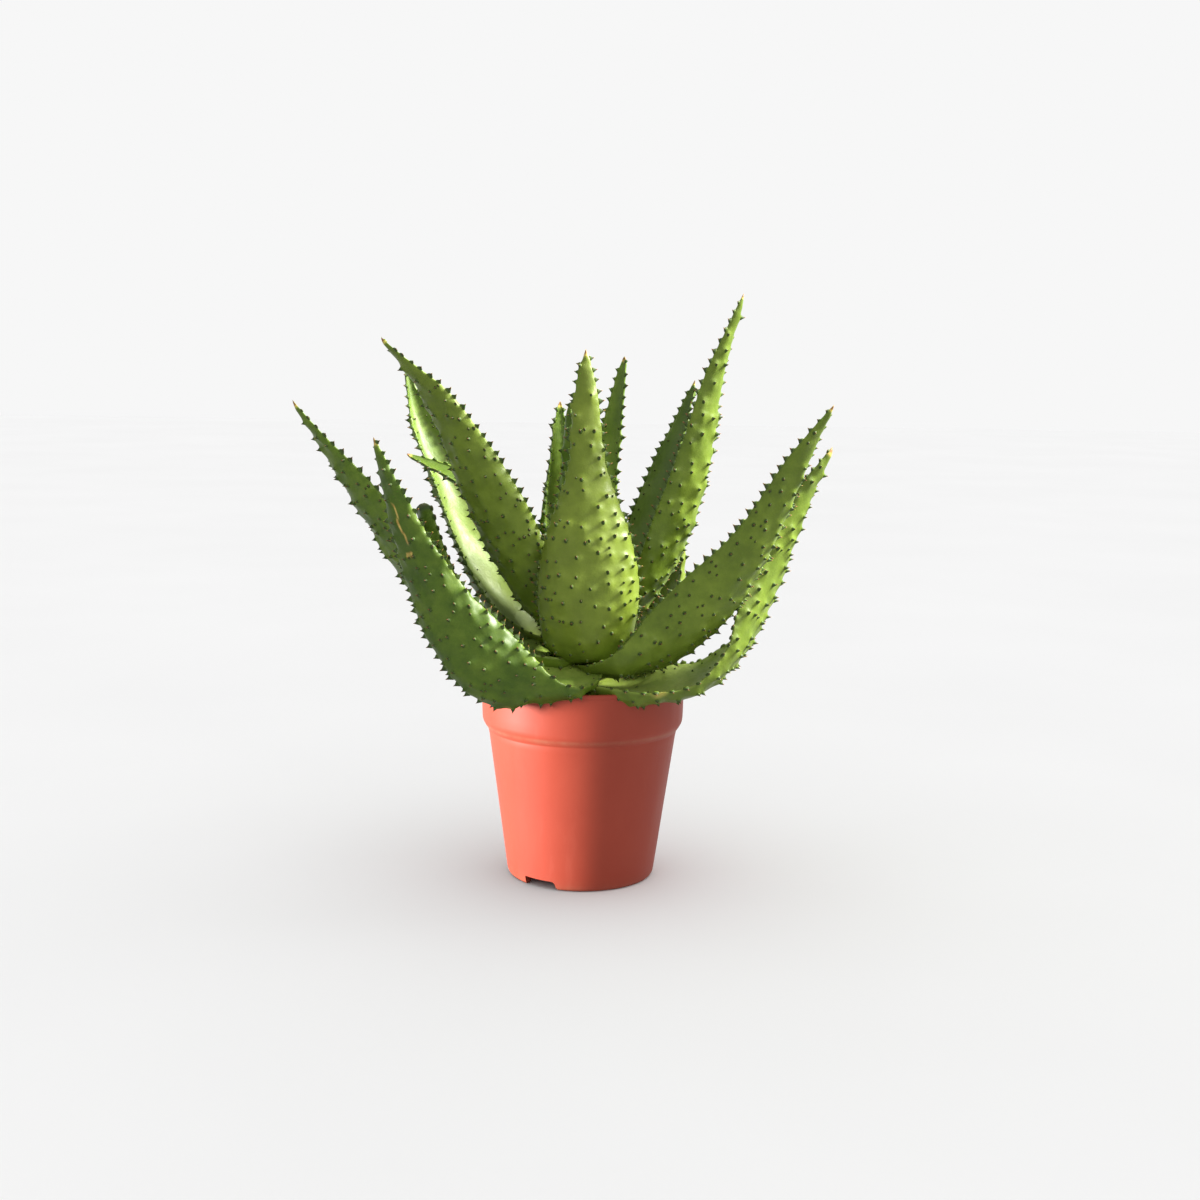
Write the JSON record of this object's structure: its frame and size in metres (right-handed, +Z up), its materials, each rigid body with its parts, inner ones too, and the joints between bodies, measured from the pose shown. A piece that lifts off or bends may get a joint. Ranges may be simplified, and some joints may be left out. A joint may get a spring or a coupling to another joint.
{
  "type": "potted aloe plant",
  "caption": "Potted spiny aloe: a rosette of thick, channelled, toothed leaves rising from a tapered plastic nursery pot with a rim band",
  "frame": {"origin": "centre of the bottom of the whole plant's box, on the plane the pot stands on; the pot's axis stands 13.8 mm to +X and 16.4 mm to -Y of it, because the leaves reach further to the left and to the back", "axes": "+Z up along the pot's axis; -Y is the front, where the fat upright leaf stands; +X is to the right seen from the front"},
  "size_m": [0.3072, 0.2152, 0.344],
  "materials": {
    "pot_plastic": "satin",
    "potting_mix": "matte",
    "stem": "matte",
    "leaf": "satin"
  },
  "bodies": {
    "root": {"pot": "pot_plastic", "potting_mix": "potting_mix", "stem": "stem", "leaf_front": "leaf", "leaf_front_left": "leaf", "leaf_low_left": "leaf", "leaf_cut_left": "leaf", "leaf_upper_left": "leaf", "leaf_back_left": "leaf", "leaf_narrow_left": "leaf", "leaf_tall_right": "leaf", "leaf_shade_right": "leaf", "leaf_front_right": "leaf", "leaf_low_right": "leaf", "leaf_inner_right": "leaf", "leaf_rear_left": "leaf", "leaf_back": "leaf", "leaf_low_back": "leaf", "leaf_low_back_left": "leaf", "leaf_young_left": "leaf", "leaf_young_mid": "leaf", "leaf_young_right": "leaf"}
  },
  "joints": []
}
